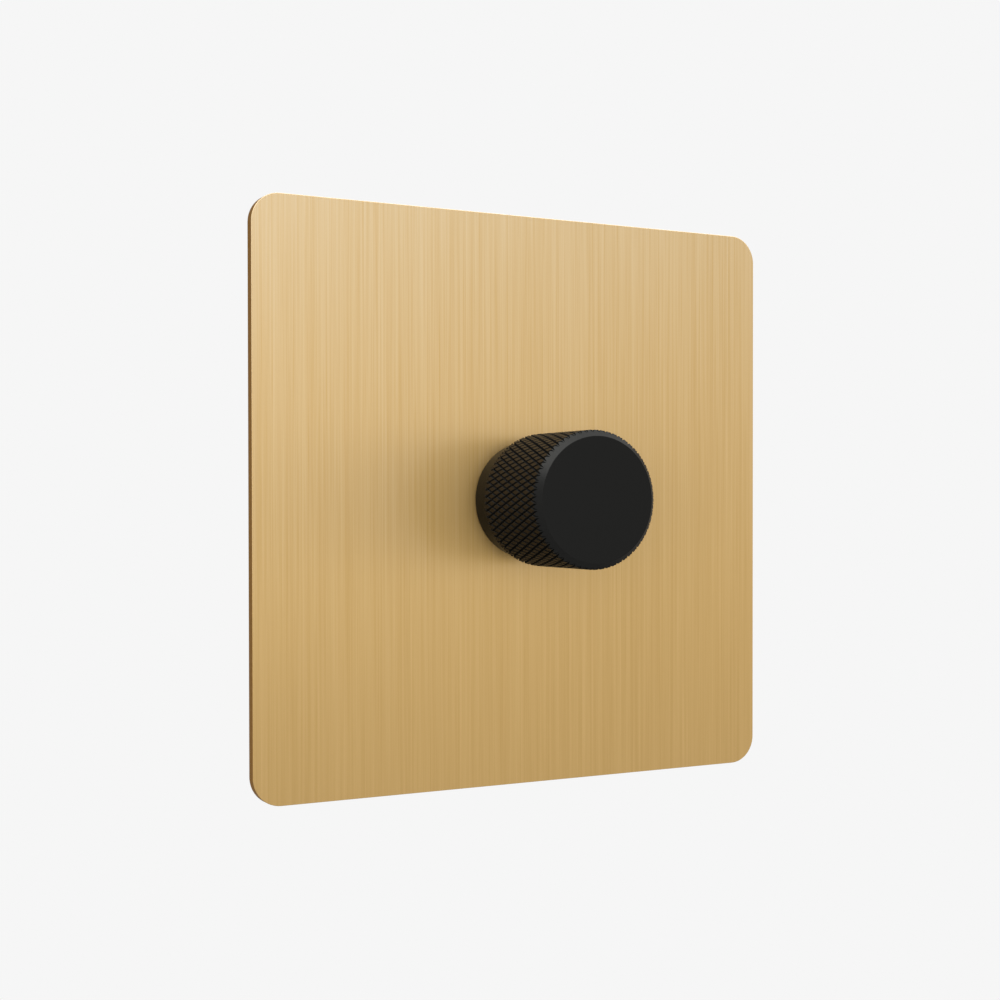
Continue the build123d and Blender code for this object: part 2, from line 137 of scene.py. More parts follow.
@dataclass(frozen=True)
class Finish:
    """A surface whose tone, roughness and relief follow one grain.

    Attributes:
        name: The material's name.
        slot: The record's material slot that it belongs to.
        tone: The main colour, as sRGB hex.
        second_tone: The colour in the grain, as sRGB hex.
        grain_mm: The width of one grain.
        roughness: The mean roughness.
        spread: How far the roughness varies either way.
        relief_mm: The height of the grain.
        metallic: One for metals, and less where their film hides some of the shine.
        grain: How the surface was worked.
        grazing: The share of a metal's reflection that is left at a grazing angle.
        gloss: The strength of the mirror-like reflection of a surface that is no metal.
    """

    name: str
    slot: str
    tone: str
    second_tone: str
    grain_mm: float
    roughness: float
    spread: float = 0.06
    relief_mm: float = 0.0
    metallic: float = 0.0
    grain: Grain = Grain.EVEN
    grazing: float = 1.0
    gloss: float = 0.5

    def material(self) -> bpy.types.Material:
        """Give the finish's material, made on first use."""
        return bpy.data.materials.get(self.name) or self._make()

    def _make(self) -> bpy.types.Material:
        """Make the material's nodes.

        Returns:
            The new material.
        """
        material = bpy.data.materials.new(self.name)
        material.use_nodes = True
        tree = material.node_tree
        shader = tree.nodes["Principled BSDF"]
        shader.inputs["Metallic"].default_value = self.metallic
        shader.inputs["Specular IOR Level"].default_value = self.gloss
        shader.inputs["Specular Tint"].default_value = (self.grazing, self.grazing, self.grazing, 1.0)
        pattern = self._pattern(tree)
        tree.links.new(self._colour(tree, pattern), shader.inputs["Base Color"])
        ends = {"To Min": self.roughness - self.spread, "To Max": self.roughness + self.spread}
        rough = add(tree, "ShaderNodeMapRange", {**ONE_NOISE, **ends}, {"Value": pattern})
        tree.links.new(rough.outputs["Result"], shader.inputs["Roughness"])
        if self.relief_mm:
            relief = {"Strength": 1.0, "Distance": self.relief_mm * MM}
            bump = add(tree, "ShaderNodeBump", relief, {"Height": pattern})
            tree.links.new(bump.outputs["Normal"], shader.inputs["Normal"])
        self._extras(tree, shader)
        return material

    def _pattern(self, tree: bpy.types.NodeTree) -> bpy.types.NodeSocket:
        """Add the grain, between 0 and 1.

        Args:
            tree: The material's tree.

        Returns:
            The socket that carries the grain.
        """
        place = add(tree, "ShaderNodeTexCoord").outputs["Object"]
        stretched = add(tree, "ShaderNodeMapping", {"Scale": self.grain.value}, {"Vector": place})
        noise = add(
            tree, "ShaderNodeTexNoise", {"Scale": 1 / (self.grain_mm * MM), "Detail": 3.0, "Roughness": 0.6},
            {"Vector": stretched.outputs[0]},
        )
        return noise.outputs[0]

    def _colour(self, tree: bpy.types.NodeTree, pattern: bpy.types.NodeSocket) -> bpy.types.NodeSocket:
        """Mix the two tones by the grain.

        Args:
            tree: The material's tree.
            pattern: The socket that carries the grain.

        Returns:
            The socket that carries the colour.
        """
        share = add(tree, "ShaderNodeMapRange", ONE_NOISE, {"Value": pattern})
        tones = {"data_type": "RGBA", 6: linear(self.tone), 7: linear(self.second_tone)}
        return add(tree, "ShaderNodeMix", tones, {0: share.outputs["Result"]}).outputs[2]

    def _extras(self, tree: bpy.types.NodeTree, shader: bpy.types.Node) -> None:
        """Add what this kind of finish has beyond its grain."""


@dataclass(frozen=True)
class BrushedLacqueredBrass(Finish):
    """Brass with long upright brush lines under a clear satin lacquer.

    Attributes:
        painted_highlight_tone: The paler tone of a painted highlight that stands in for a broad highlight of
            the lamps towards one edge, as sRGB hex.
        painted_highlight_from: The direction of that edge from the middle.
        painted_highlight_reach_mm: The distance on either side of the middle over which the painted highlight
            fades out.
        painted_highlight_share: How much of the painted highlight there is at that edge.
        painted_highlight_in_lines: How much stronger or weaker the painted highlight is in the lines.
        line_mm: The spacing of the wider brush lines.
        stretch: How much wider than tall the brushing spreads a highlight.
        coat_roughness: The roughness of the lacquer.
        brush_uv: The map that gives the direction across the lines.
    """

    painted_highlight_tone: str = "#C8BDA6"
    painted_highlight_from: Point = (-0.2, 0.0, 0.98)
    painted_highlight_reach_mm: float = 54.0
    painted_highlight_share: float = 0.47
    painted_highlight_in_lines: float = 0.42
    line_mm: float = 0.36
    stretch: float = 0.83
    coat_roughness: float = 0.22
    brush_uv: str = "brush"

    def _colour(self, tree: bpy.types.NodeTree, pattern: bpy.types.NodeSocket) -> bpy.types.NodeSocket:
        """Mix fine lines, wider lines and a painted highlight towards one edge, which is stronger in the paler
        lines.

        Args:
            tree: The material's tree.
            pattern: The socket that carries the fine lines.

        Returns:
            The socket that carries the colour.
        """
        place = add(tree, "ShaderNodeTexCoord").outputs["Object"]
        stretched = add(tree, "ShaderNodeMapping", {"Scale": self.grain.value}, {"Vector": place})
        wide = add(
            tree, "ShaderNodeTexNoise", {"Scale": 1 / (self.line_mm * MM), "Detail": 4.0, "Roughness": 0.7},
            {"Vector": stretched.outputs[0]},
        )
        both = add(tree, "ShaderNodeMath", {"operation": "ADD"}, {0: pattern, 1: wide.outputs[0]}).outputs[0]
        share = add(tree, "ShaderNodeMapRange", TWO_NOISES, {"Value": both})
        tones = {"data_type": "RGBA", 6: linear(self.tone), 7: linear(self.second_tone)}
        lines = add(tree, "ShaderNodeMix", tones, {0: share.outputs["Result"]})
        # Painted highlight: a paler tone that grows towards the top and stands in for the lamps' broad
        # highlight on the lacquer. It is stronger in the paler lines.
        towards = {"operation": "DOT_PRODUCT", 1: self.painted_highlight_from}
        along = add(tree, "ShaderNodeVectorMath", towards, {0: place}).outputs["Value"]
        reach = self.painted_highlight_reach_mm * MM
        rise = add(tree, "ShaderNodeMapRange", {"From Min": -reach, "From Max": reach}, {"Value": along})
        painted_highlight_ramp = add(tree, "ShaderNodeMath", {"operation": "POWER", 1: 2.0}, {0: rise.outputs["Result"]})
        low, high = self.painted_highlight_share * (1 - self.painted_highlight_in_lines), self.painted_highlight_share * (1 + self.painted_highlight_in_lines)
        broken = add(tree, "ShaderNodeMapRange", {**TWO_NOISES, "To Min": low, "To Max": high}, {"Value": both})
        factors = {0: painted_highlight_ramp.outputs[0], 1: broken.outputs["Result"]}
        amount = add(tree, "ShaderNodeMath", {"operation": "MULTIPLY"}, factors)
        pale = {"data_type": "RGBA", 7: linear(self.painted_highlight_tone)}
        return add(tree, "ShaderNodeMix", pale, {0: amount.outputs[0], 6: lines.outputs[2]}).outputs[2]

    def _extras(self, tree: bpy.types.NodeTree, shader: bpy.types.Node) -> None:
        """Spread highlights across the brush lines, under the lacquer.

        Args:
            tree: The material's tree.
            shader: Its shader.
        """
        across = add(tree, "ShaderNodeTangent", {"direction_type": "UV_MAP", "uv_map": self.brush_uv})
        tree.links.new(across.outputs["Tangent"], shader.inputs["Tangent"])
        shader.inputs["Anisotropic"].default_value = self.stretch
        shader.inputs["Coat Weight"].default_value = 1.0
        shader.inputs["Coat Roughness"].default_value = self.coat_roughness


# Brushed brass: fine upright lines, a soft wide sheen from the brushing, and a painted highlight that makes it
# paler towards the top.
BRASS_PLATE = BrushedLacqueredBrass(
    "brushed_lacquered_brass", "brushed_brass", "#BA9550", "#C8A462", 0.16, 0.5, 0.02, 0.0, 1.0,
    Grain.BRUSHED_UPRIGHT,
)
# Sheared brass edge: duller and browner than the brushed face, without lacquer.
BRASS_EDGE = Finish(
    "sheared_brass_edge", "brushed_brass", "#896430", "#805C2A", 0.6, 0.5, 0.05, 0.004, 1.0, grazing=0.6
)
# Black anodised aluminium, fine turned: almost black, and it mirrors its surroundings softly.
BLACK_TURNED = Finish(
    "turned_black_anodised_aluminium", "black_anodised", "#242423", "#212120", 0.12, 0.36, 0.04, 0.0, 1.0,
    grazing=0.58,
)
# The flanks of the knurl, torn by the tool: quite matt, so that those that face the light turn grey.
BLACK_FLANK = Finish(
    "torn_black_anodised_aluminium", "black_anodised", "#292928", "#252524", 0.12, 0.7, 0.04, gloss=0.0
)
# The crests of the knurl, rolled smooth: brownish black, mostly a dull mirror and partly matt.
BLACK_CREST = Finish(
    "rolled_black_anodised_aluminium", "black_anodised", "#342F27", "#312C24", 0.12, 0.4, 0.04, 0.0, 0.8,
    grazing=0.64, gloss=0.0,
)
# Moulded black polycarbonate: the fine even texture of a spark-eroded mould.
BLACK_MOULDING = Finish(
    "moulded_black_polycarbonate", "black_moulding", "#1B1B1D", "#232326", 0.35, 0.5, 0.07, 0.012
)
# Moulded white acetal: slightly creamy and waxy.
WHITE_MOULDING = Finish(
    "moulded_white_acetal", "white_moulding", "#E4E2DA", "#DAD8CF", 0.8, 0.42, 0.05, 0.004
)
# Soft rubber: matt and dusty.
GREY_RUBBER = Finish("soft_black_rubber", "grey_rubber", "#262626", "#313131", 0.5, 0.82, 0.05, 0.01)
# Zinc-plated steel: cool grey with a cloudy passivated film.
ZINC_STEEL = Finish("zinc_plated_steel", "zinc_steel", "#BEC2C6", "#ADB1B3", 2.4, 0.34, 0.06, 0.0, 1.0)
# Machined free-cutting brass: yellow, with fine tool lines.
PLAIN_BRASS = Finish(
    "machined_brass", "plain_brass", "#D6B36A", "#CBA75C", 0.3, 0.34, 0.04, 0.001, 1.0, Grain.DRAWN_ALONG_AXIS
)
# Rolled aluminium sheet: pale, with long rolling lines.
ALUMINIUM = Finish(
    "rolled_aluminium_sheet", "bare_aluminium", "#C9CCD0", "#B7BABE", 0.5, 0.38, 0.06, 0.002, 1.0,
    Grain.DRAWN_ACROSS,
)
# Glass-cloth laminate under green solder mask: the cloth shows faintly through.
BOARD = Finish("solder_masked_laminate", "circuit_board", "#1C5A34", "#174C2C", 0.7, 0.35, 0.05, 0.004)
# Moulded dark epoxy: dull, with a fine speckle of filler.
DARK_EPOXY = Finish("moulded_dark_epoxy", "dark_component", "#1E1E1F", "#2A2A2B", 0.25, 0.55, 0.06, 0.006)
# Pressed ferrite: dark grey ceramic, slightly grainy.
FERRITE = Finish("pressed_ferrite", "ferrite", "#333335", "#29292B", 0.3, 0.6, 0.06, 0.01)
# Enamelled copper wire: warm red-brown with a glossy film.
COPPER = Finish(
    "enamelled_copper_wire", "copper_wire", "#B9673C", "#9E5530", 0.5, 0.28, 0.05, 0.02, 1.0,
    Grain.DRAWN_ACROSS,
)
# Dipped epoxy case: glossy amber.
AMBER_CASE = Finish("dipped_amber_epoxy", "amber_component", "#C99428", "#BB861F", 1.5, 0.25, 0.05, 0.01)
# Filled silicone pad: soft grey-blue and matt.
SOFT_PAD = Finish("filled_silicone_pad", "soft_pad", "#8E98A3", "#828C97", 0.4, 0.75, 0.05, 0.01)


def put(name: str, data: bpy.types.ID) -> bpy.types.Object:
    """Put an object in the scene.

    Args:
        name: The object's name.
        data: Its mesh, light or camera.

    Returns:
        The new object.
    """
    piece = bpy.data.objects.new(name, data)
    bpy.context.scene.collection.objects.link(piece)
    return piece


def mesh_from(shape: bmesh.types.BMesh, name: str) -> bpy.types.Mesh:
    """Turn a shape into a mesh as it is.

    Args:
        shape: The shape, which is freed.
        name: The mesh's name.

    Returns:
        The new mesh.
    """
    mesh = bpy.data.meshes.new(name)
    shape.to_mesh(mesh)
    shape.free()
    return mesh


def piece_from(shape: bmesh.types.BMesh, name: str) -> bpy.types.Object:
    """Turn a shape into an object, with doubles merged and faces outwards.

    Args:
        shape: The shape, which is freed.
        name: The object's name.

    Returns:
        The new object.
    """
    bmesh.ops.remove_doubles(shape, verts=shape.verts, dist=MERGE_DISTANCE)
    bmesh.ops.recalc_face_normals(shape, faces=shape.faces)
    return put(name, mesh_from(shape, name))


def settle(piece: bpy.types.Object) -> None:
    """Turn a piece's live modifiers into its plain mesh.

    Args:
        piece: The piece that changes.
    """
    graph = bpy.context.evaluated_depsgraph_get()
    mesh = bpy.data.meshes.new_from_object(piece.evaluated_get(graph))
    piece.modifiers.clear()
    piece.data = mesh


def combine(piece: bpy.types.Object, tool: bpy.types.Object, how: Solid) -> None:
    """Combine a piece with a tool, which is used up.

    Args:
        piece: The piece that changes.
        tool: The closed mesh that it is combined with.
        how: The way they are combined.
    """
    modifier = piece.modifiers.new(how.name, "BOOLEAN")
    modifier.operation = how.value
    modifier.solver = "EXACT"
    modifier.object = tool
    settle(piece)
    bpy.data.objects.remove(tool)


def clean(piece: bpy.types.Object) -> None:
    """Close up the slivers that cutting leaves.

    Args:
        piece: The piece that changes.
    """
    shape = bmesh.new()
    shape.from_mesh(piece.data)
    bmesh.ops.remove_doubles(shape, verts=shape.verts, dist=SLIVER)
    bmesh.ops.dissolve_degenerate(shape, edges=shape.edges, dist=SLIVER)
    shape.to_mesh(piece.data)
    shape.free()


def shade(piece: bpy.types.Object, sharp_degrees: float) -> None:
    """Shade a piece smooth, with its edges sharp above an angle."""
    piece.data.shade_smooth()
    piece.data.set_sharp_from_angle(angle=math.radians(sharp_degrees))


def quarter_round(radius: float, steps: int) -> Profile:
    """Give the points of a rounded edge as distances from the two faces that it joins."""
    angles = [step / steps * QUARTER_TURN for step in range(steps + 1)]
    return [(radius * (1 - math.cos(angle)), radius * (1 - math.sin(angle))) for angle in angles]


def turned(name: str, profile: Profile, steps: int) -> bpy.types.Object:
    """Turn a closed profile about the knob's axis.

    Args:
        name: The object's name.
        profile: Radius and depth of each corner, in millimetres, with the first and last on the axis.
        steps: The number of steps around.

    Returns:
        The turned piece.
    """
    shape = bmesh.new()
    line = [shape.verts.new((radius * MM, depth * MM, 0)) for radius, depth in profile]
    edges = [shape.edges.new(pair) for pair in zip(line, line[1:])]
    bmesh.ops.spin(
        shape, geom=line + edges, axis=(0, 1, 0), cent=(0, 0, 0), steps=steps, angle=math.tau, use_merge=True
    )
    return piece_from(shape, name)


def bridge(shape: bmesh.types.BMesh, ring: Ring, after: Ring) -> None:
    """Join two closed rings of points by faces.

    Args:
        shape: The shape that has both.
        ring: The first ring.
        after: The second, with the same number of points.
    """
    for i in range(len(ring)):
        j = (i + 1) % len(ring)
        shape.faces.new((ring[i], ring[j], after[j], after[i]))


def looped(name: str, loops: Sequence[Sequence[Point]]) -> bpy.types.Object:
    """Join closed loops of points in turn, and the last to the first.

    Args:
        name: The object's name.
        loops: Loops with the same number of points, in millimetres.

    Returns:
        The closed ring of faces.
    """
    shape = bmesh.new()
    rings = [[shape.verts.new(Vector(point) * MM) for point in loop] for loop in loops]
    for ring, after in zip(rings, rings[1:] + rings[:1]):
        bridge(shape, ring, after)
    return piece_from(shape, name)


def new_tree(name: str, inputs: dict[str, str]) -> tuple[bpy.types.NodeTree, bpy.types.Node]:
    """Start a geometry tree with named inputs after its geometry.

    Args:
        name: The tree's name.
        inputs: The socket type of each input, by name.

    Returns:
        The tree and its input node.
    """
    tree = bpy.data.node_groups.new(name, "GeometryNodeTree")
    tree.interface.new_socket("Geometry", in_out="INPUT", socket_type="NodeSocketGeometry")
    for label, kind in inputs.items():
        tree.interface.new_socket(label, in_out="INPUT", socket_type=kind)
    tree.interface.new_socket("Geometry", in_out="OUTPUT", socket_type="NodeSocketGeometry")
    return tree, add(tree, "NodeGroupInput")


def end_tree(tree: bpy.types.NodeTree, geometry: bpy.types.NodeSocket, finish: bpy.types.NodeSocket) -> None:
    """End a geometry tree with plain geometry in one finish.

    Args:
        tree: The tree.
        geometry: What it has made.
        finish: The input that carries the finish.
    """
    plain = add(tree, "GeometryNodeRealizeInstances", {}, {0: geometry})
    dressed = add(tree, "GeometryNodeSetMaterial", {}, {"Geometry": plain.outputs[0], "Material": finish})
    add(tree, "NodeGroupOutput", {}, {0: dressed.outputs[0]})


def run_tree(piece: bpy.types.Object, tree: bpy.types.NodeTree, values: dict[str, object]) -> None:
    """Run a geometry tree on a piece and keep the result as its plain mesh.

    Args:
        piece: The piece whose mesh goes in.
        tree: The tree.
        values: The value of each named input.
    """
    modifier = piece.modifiers.new(tree.name, "NODES")
    modifier.node_group = tree
    for item in tree.interface.items_tree:
        if item.in_out == "INPUT" and item.name in values:
            modifier[item.identifier] = values[item.name]
    settle(piece)


def install(piece: bpy.types.Object, finish: Finish, body: str, *nodes: str) -> None:
    """Dress a piece and put it in the place of CAD nodes.

    Args:
        piece: The finished piece.
        finish: Its finish.
        body: The body that it moves with.
        nodes: The nodes that it stands for.
    """
    piece.data.materials.clear()
    piece.data.materials.append(finish.material())
    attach(piece, body)
    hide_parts(*nodes)
    LOG.info("%s: %d faces, %s", piece.name, len(piece.data.polygons), finish.name)


@dataclass
class FrontPlate:
    """The square brass plate with a round hole for the knob.

    Attributes:
        corner_radius: The radius of its four corners.
        corner_steps: The number of steps around a corner.
        edge_radius: The rounding of its front edge.
        edge_steps: The number of steps around that edge.
        hole_radius: The radius of the hole.
        support: The width of the strip that keeps the flat face flat beside a rounding.
        sharp_degrees: The angle above which an edge looks sharp.
        side_limit: How far a face of the sheared side looks along the knob's axis at most.
    """

    corner_radius: float = 4.2
    corner_steps: int = 16
    edge_radius: float = 0.07
    edge_steps: int = 4
    hole_radius: float = 7.3
    support: float = 0.05
    sharp_degrees: float = 40.0
    side_limit: float = 0.3

    def build(self) -> None:
        """Build the plate and dress it."""
        low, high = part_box("front_plate")
        self.side = (high.x - low.x) / MM
        self.front, self.back = low.y / MM, high.y / MM
        plate = looped("brass_plate", self._loops())
        self._map_brushing(plate.data)
        shade(plate, self.sharp_degrees)
        install(plate, BRASS_PLATE, "base", "front_plate")
        plate.data.materials.append(BRASS_EDGE.material())
        for face in plate.data.polygons:
            face.material_index = int(abs(face.normal.y) < self.side_limit)

    def _outline(self, inset: float, depth: float) -> list[Point]:
        """Give the plate's rounded outline.

        Args:
            inset: The distance inside the full outline.
            depth: The place along the knob's axis.

        Returns:
            The points around it.
        """
        centre = self.side / 2 - self.corner_radius
        radius = self.corner_radius - inset
        points = []
        for quarter in range(4):
            corner = Vector((centre, centre))
            corner.rotate(Matrix.Rotation(quarter * QUARTER_TURN, 2))
            for step in range(self.corner_steps + 1):
                angle = (quarter + step / self.corner_steps) * QUARTER_TURN
                x, z = corner.x + radius * math.cos(angle), corner.y + radius * math.sin(angle)
                points.append((x, depth, z))
        return points

    def _hole(self, radius: float, depth: float) -> list[Point]:
        """Give the hole's outline, point for point with the plate's."""
        angles = [math.atan2(z, x) for x, _, z in self._outline(0, depth)]
        return [(radius * math.cos(a), depth, radius * math.sin(a)) for a in angles]

    def _loops(self) -> list[list[Point]]:
        """Give the loops from the back edge, over the front, and into the hole.

        Returns:
            The loops in order.
        """
        rounding = quarter_round(self.edge_radius, self.edge_steps)
        return [
            self._outline(self.support, self.back),
            self._outline(0, self.back - self.support),
            *(self._outline(inset, self.front + drop) for inset, drop in rounding),
            self._outline(self.edge_radius + self.support, self.front),
            self._hole(self.hole_radius + self.support, self.front),
            self._hole(self.hole_radius, self.front + self.support),
            self._hole(self.hole_radius, self.back),
        ]

    def _map_brushing(self, mesh: bpy.types.Mesh) -> None:
        """Map the direction across the brush lines.

        Args:
            mesh: The plate's mesh.
        """
        layer = mesh.uv_layers.new(name=BRASS_PLATE.brush_uv)
        for loop in mesh.loops:
            x, y, z = mesh.vertices[loop.vertex_index].co
            layer.uv[loop.index].vector = (x + y, z + y / 2)


@dataclass
class KnurledKnob:
    """The turned knob: smooth collar, diamond knurl, chamfer and flat face.

    Attributes:
        starts: The number of diamonds around.
        half_pitch: The distance between rows of diamonds along the axis.
        lead: How far ahead of the flat face the first row lies.
        spare_rows: The number of rows beyond those that fit the grip.
        turn: The turn of the first row about the axis, in degrees.
        top_radius: The radius over the diamonds.
        depth: The depth of the grooves.
        groove_share: The share of a diamond that its flanks take.
        edge: The softening of a diamond's top edges.
        chamfer: The radial width of the front chamfer.
        chamfer_length: The length of that chamfer along the axis.
        collar_length: The length of the smooth collar.
        collar_base_radius: The collar's radius beside the plate.
        collar_top_radius: The collar's radius at the knurl.
        collar_rounding: The rounding of the collar's edge beside the plate.
        rounding_steps: The number of steps around that edge.
        bore_sides: The number of sides of the bore.
        bore_flats: The width across the flats of the bore.
        face_wall: The thickness of metal in front of the bore.
        rim_room: How far the turned form of the grip clears the diamonds.
        bore_room: How far the cutter of the bore stands out at the back.
        steps: The number of steps around the turned surfaces.
        sharp_degrees: The angle above which an edge looks sharp.
        end_limit: How far a face of the knurl looks along the axis at most.
        crest_limit: How far a crest looks away from the axis at least.
    """

    starts: int = 60
    half_pitch: float = 1.45
    lead: float = 1.11
    spare_rows: int = 3
    turn: float = 2.75
    top_radius: float = 9.825
    depth: float = 0.37
    groove_share: float = 0.3
    edge: float = 0.02
    chamfer: float = 0.905
    chamfer_length: float = 1.0
    collar_length: float = 5.2
    collar_base_radius: float = 8.7
    collar_top_radius: float = 9.43
    collar_rounding: float = 0.15
    rounding_steps: int = 4
    bore_sides: int = 6
    bore_flats: float = 9.46
    face_wall: float = 5.5
    rim_room: float = 0.06
    bore_room: float = 1.0
    steps: int = 240
    sharp_degrees: float = 25.0
    end_limit: float = 0.5
    crest_limit: float = 0.9

    def build(self) -> None:
        """Build the knob and dress it."""
        low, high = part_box("knob")
        self.front, self.back = low.y / MM, high.y / MM
        self.grip_back = self.back - self.collar_length
        knob = self._diamond()
        self._knurl(knob)
        combine(knob, self._envelope(), Solid.KEEP_COMMON)
        combine(knob, self._collar(), Solid.JOIN)
        combine(knob, self._bore(), Solid.CUT)
        clean(knob)
        shade(knob, self.sharp_degrees)
        install(knob, BLACK_TURNED, "knob_and_shaft", "knob")
        knob.data.materials.append(BLACK_CREST.material())
        knob.data.materials.append(BLACK_FLANK.material())
        for face in knob.data.polygons:
            face.material_index = self._part_of_grip(face)

    def _part_of_grip(self, face: bpy.types.MeshPolygon) -> int:
        """Tell a turned face from a crest and a flank of the knurl.

        Args:
            face: A face of the knob.

        Returns:
            The number of its finish: 0 for a turned face, 1 for a crest and 2 for a flank.
        """
        middle = face.center
        on_collar = middle.y > self.grip_back * MM
        in_bore = middle.xz.length < self.collar_base_radius * MM
        if on_collar or in_bore or abs(face.normal.y) > self.end_limit:
            return 0
        return 1 if middle.xz.normalized().dot(face.normal.xz) > self.crest_limit else 2

    def _diamond(self) -> bpy.types.Object:
        """Make one raised diamond at its real radius, on the +X side.

        Returns:
            The diamond, open underneath.
        """
        half_angle = math.pi / self.starts
        node = self.top_radius - self.depth
        width = node * math.sin(half_angle)
        sag = node * (1 - math.cos(half_angle))
        top_width = width * (1 - self.groove_share)
        top_length = self.half_pitch * top_width * (self.depth + sag) / (self.depth * width + sag * top_width)
        low = [
            (node - sag, 0, width), (node, self.half_pitch, 0),
            (node - sag, 0, -width), (node, -self.half_pitch, 0),
        ]
        crest = [(0, top_width), (top_length, 0), (0, -top_width), (-top_length, 0)]
        top = [Vector((self.top_radius, along, across)) for along, across in crest]
        shoulder = [Vector(b).lerp(t, 1 - self.edge / self.depth) for b, t in zip(low, top)]
        shrink = 1 - self.edge / top_width
        crown = [Vector((t.x, t.y * shrink, t.z * shrink)) for t in top]
        shape = bmesh.new()
        rings = [[shape.verts.new(Vector(point) * MM) for point in ring] for ring in (low, shoulder, crown)]
        for ring, after in zip(rings, rings[1:]):
            for i in range(4):
                shape.faces.new((ring[i - 1], ring[i], after[i], after[i - 1]))
        shape.faces.new(rings[-1])
        return put("knurled_knob", mesh_from(shape, "knob"))

    def _knurl(self, diamond: bpy.types.Object) -> None:
        """Repeat a diamond into a closed knurled bar that is longer than the grip.

        Args:
            diamond: The diamond, which becomes the bar.
        """
        tree, source = new_tree("diamond_knurl", {
            "Starts": "NodeSocketInt", "Rows": "NodeSocketInt", "Row Spacing": "NodeSocketFloat",
            "First Row": "NodeSocketFloat", "First Turn": "NodeSocketFloat", "Finish": "NodeSocketMaterial",
        })
        given = source.outputs
        index = add(tree, "GeometryNodeInputIndex").outputs[0]
        ratio = add(tree, "ShaderNodeMath", {"operation": "DIVIDE"}, {0: index, 1: given["Starts"]})
        row = add(tree, "ShaderNodeMath", {"operation": "FLOOR"}, {0: ratio.outputs[0]}).outputs[0]
        halves = add(tree, "ShaderNodeMath", {"operation": "MULTIPLY_ADD", 1: 2.0}, {0: index, 2: row})
        step = add(tree, "ShaderNodeMath", {"operation": "DIVIDE", 0: math.pi}, {1: given["Starts"]})
        around = {0: halves.outputs[0], 1: step.outputs[0], 2: given["First Turn"]}
        turn = add(tree, "ShaderNodeMath", {"operation": "MULTIPLY_ADD"}, around)
        along = {0: row, 1: given["Row Spacing"], 2: given["First Row"]}
        depth = add(tree, "ShaderNodeMath", {"operation": "MULTIPLY_ADD"}, along)
        count = add(tree, "ShaderNodeMath", {"operation": "MULTIPLY"}, {0: given["Starts"], 1: given["Rows"]})
        place = add(tree, "ShaderNodeCombineXYZ", {}, {"Y": depth.outputs[0]})
        euler = add(tree, "ShaderNodeCombineXYZ", {}, {"Y": turn.outputs[0]})
        rotation = add(tree, "FunctionNodeEulerToRotation", {}, {0: euler.outputs[0]})
        seeds = {"Count": count.outputs[0], "Position": place.outputs[0]}
        points = add(tree, "GeometryNodePoints", {}, seeds)
        copies = add(
            tree, "GeometryNodeInstanceOnPoints", {},
            {"Points": points.outputs[0], "Instance": given["Geometry"], "Rotation": rotation.outputs[0]},
        )
        plain = add(tree, "GeometryNodeRealizeInstances", {}, {0: copies.outputs[0]})
        near = {"Distance": MERGE_DISTANCE}
        tube = add(tree, "GeometryNodeMergeByDistance", near, {"Geometry": plain.outputs[0]})
        bar = self._closed_ends(tree, tube.outputs[0], given)
        end_tree(tree, bar, given["Finish"])
        rows = int((self.grip_back - self.front) / self.half_pitch) + self.spare_rows
        run_tree(diamond, tree, {
            "Starts": self.starts, "Rows": rows, "Row Spacing": self.half_pitch * MM,
            "First Row": (self.front - self.lead) * MM, "First Turn": -math.radians(self.turn),
            "Finish": BLACK_CREST.material(),
        })

    def _closed_ends(
        self, tree: bpy.types.NodeTree, tube: bpy.types.NodeSocket, given: Inputs
    ) -> bpy.types.NodeSocket:
        """Draw the open edges of the knurled tube to one point on the axis at each end.

        Args:
            tree: The tree.
            tube: The open tube.
            given: The tree's inputs.

        Returns:
            The closed bar.
        """
        faces = add(tree, "GeometryNodeInputMeshEdgeNeighbors").outputs[0]
        only_one = {"data_type": "INT", "operation": "EQUAL", 3: 1}
        is_open = add(tree, "FunctionNodeCompare", only_one, {2: faces})
        drawn = add(
            tree, "GeometryNodeExtrudeMesh", {"mode": "EDGES", "Offset Scale": 0.0},
            {"Mesh": tube, "Selection": is_open.outputs[0]},
        )
        halved = {"operation": "MULTIPLY_ADD", 1: 0.5, 2: -0.5}
        middle = add(tree, "ShaderNodeMath", halved, {0: given["Rows"]})
        steps = {0: middle.outputs[0], 1: given["Row Spacing"]}
        span = add(tree, "ShaderNodeMath", {"operation": "MULTIPLY"}, steps)
        parts = {0: span.outputs[0], 1: given["First Row"]}
        centre = add(tree, "ShaderNodeMath", {"operation": "ADD"}, parts)
        position = add(tree, "GeometryNodeInputPosition").outputs[0]
        here = add(tree, "ShaderNodeSeparateXYZ", {}, {0: position}).outputs["Y"]
        offset = add(tree, "ShaderNodeMath", {"operation": "SUBTRACT"}, {0: here, 1: centre.outputs[0]})
        way = add(tree, "ShaderNodeMath", {"operation": "SIGN"}, {0: offset.outputs[0]})
        end = add(
            tree, "ShaderNodeMath", {"operation": "MULTIPLY_ADD"},
            {0: way.outputs[0], 1: span.outputs[0], 2: centre.outputs[0]},
        )
        on_axis = add(tree, "ShaderNodeCombineXYZ", {}, {"Y": end.outputs[0]}).outputs[0]
        closed = add(
            tree, "GeometryNodeSetPosition", {},
            {"Geometry": drawn.outputs["Mesh"], "Selection": drawn.outputs["Top"], "Position": on_axis},
        )
        near = {"Distance": MERGE_DISTANCE}
        merged = add(tree, "GeometryNodeMergeByDistance", near, {"Geometry": closed.outputs[0]})
        return merged.outputs[0]

    def _envelope(self) -> bpy.types.Object:
        """Turn the grip's outer form: flat face, chamfer and straight side.

        Returns:
            The closed form.
        """
        rim = self.top_radius + self.rim_room
        corner = self.front + self.chamfer_length
        face = self.top_radius - self.chamfer
        front = [(0, self.front), (face, self.front), (rim, corner)]
        return turned("grip_form", front + [(rim, self.grip_back), (0, self.grip_back)], self.steps)

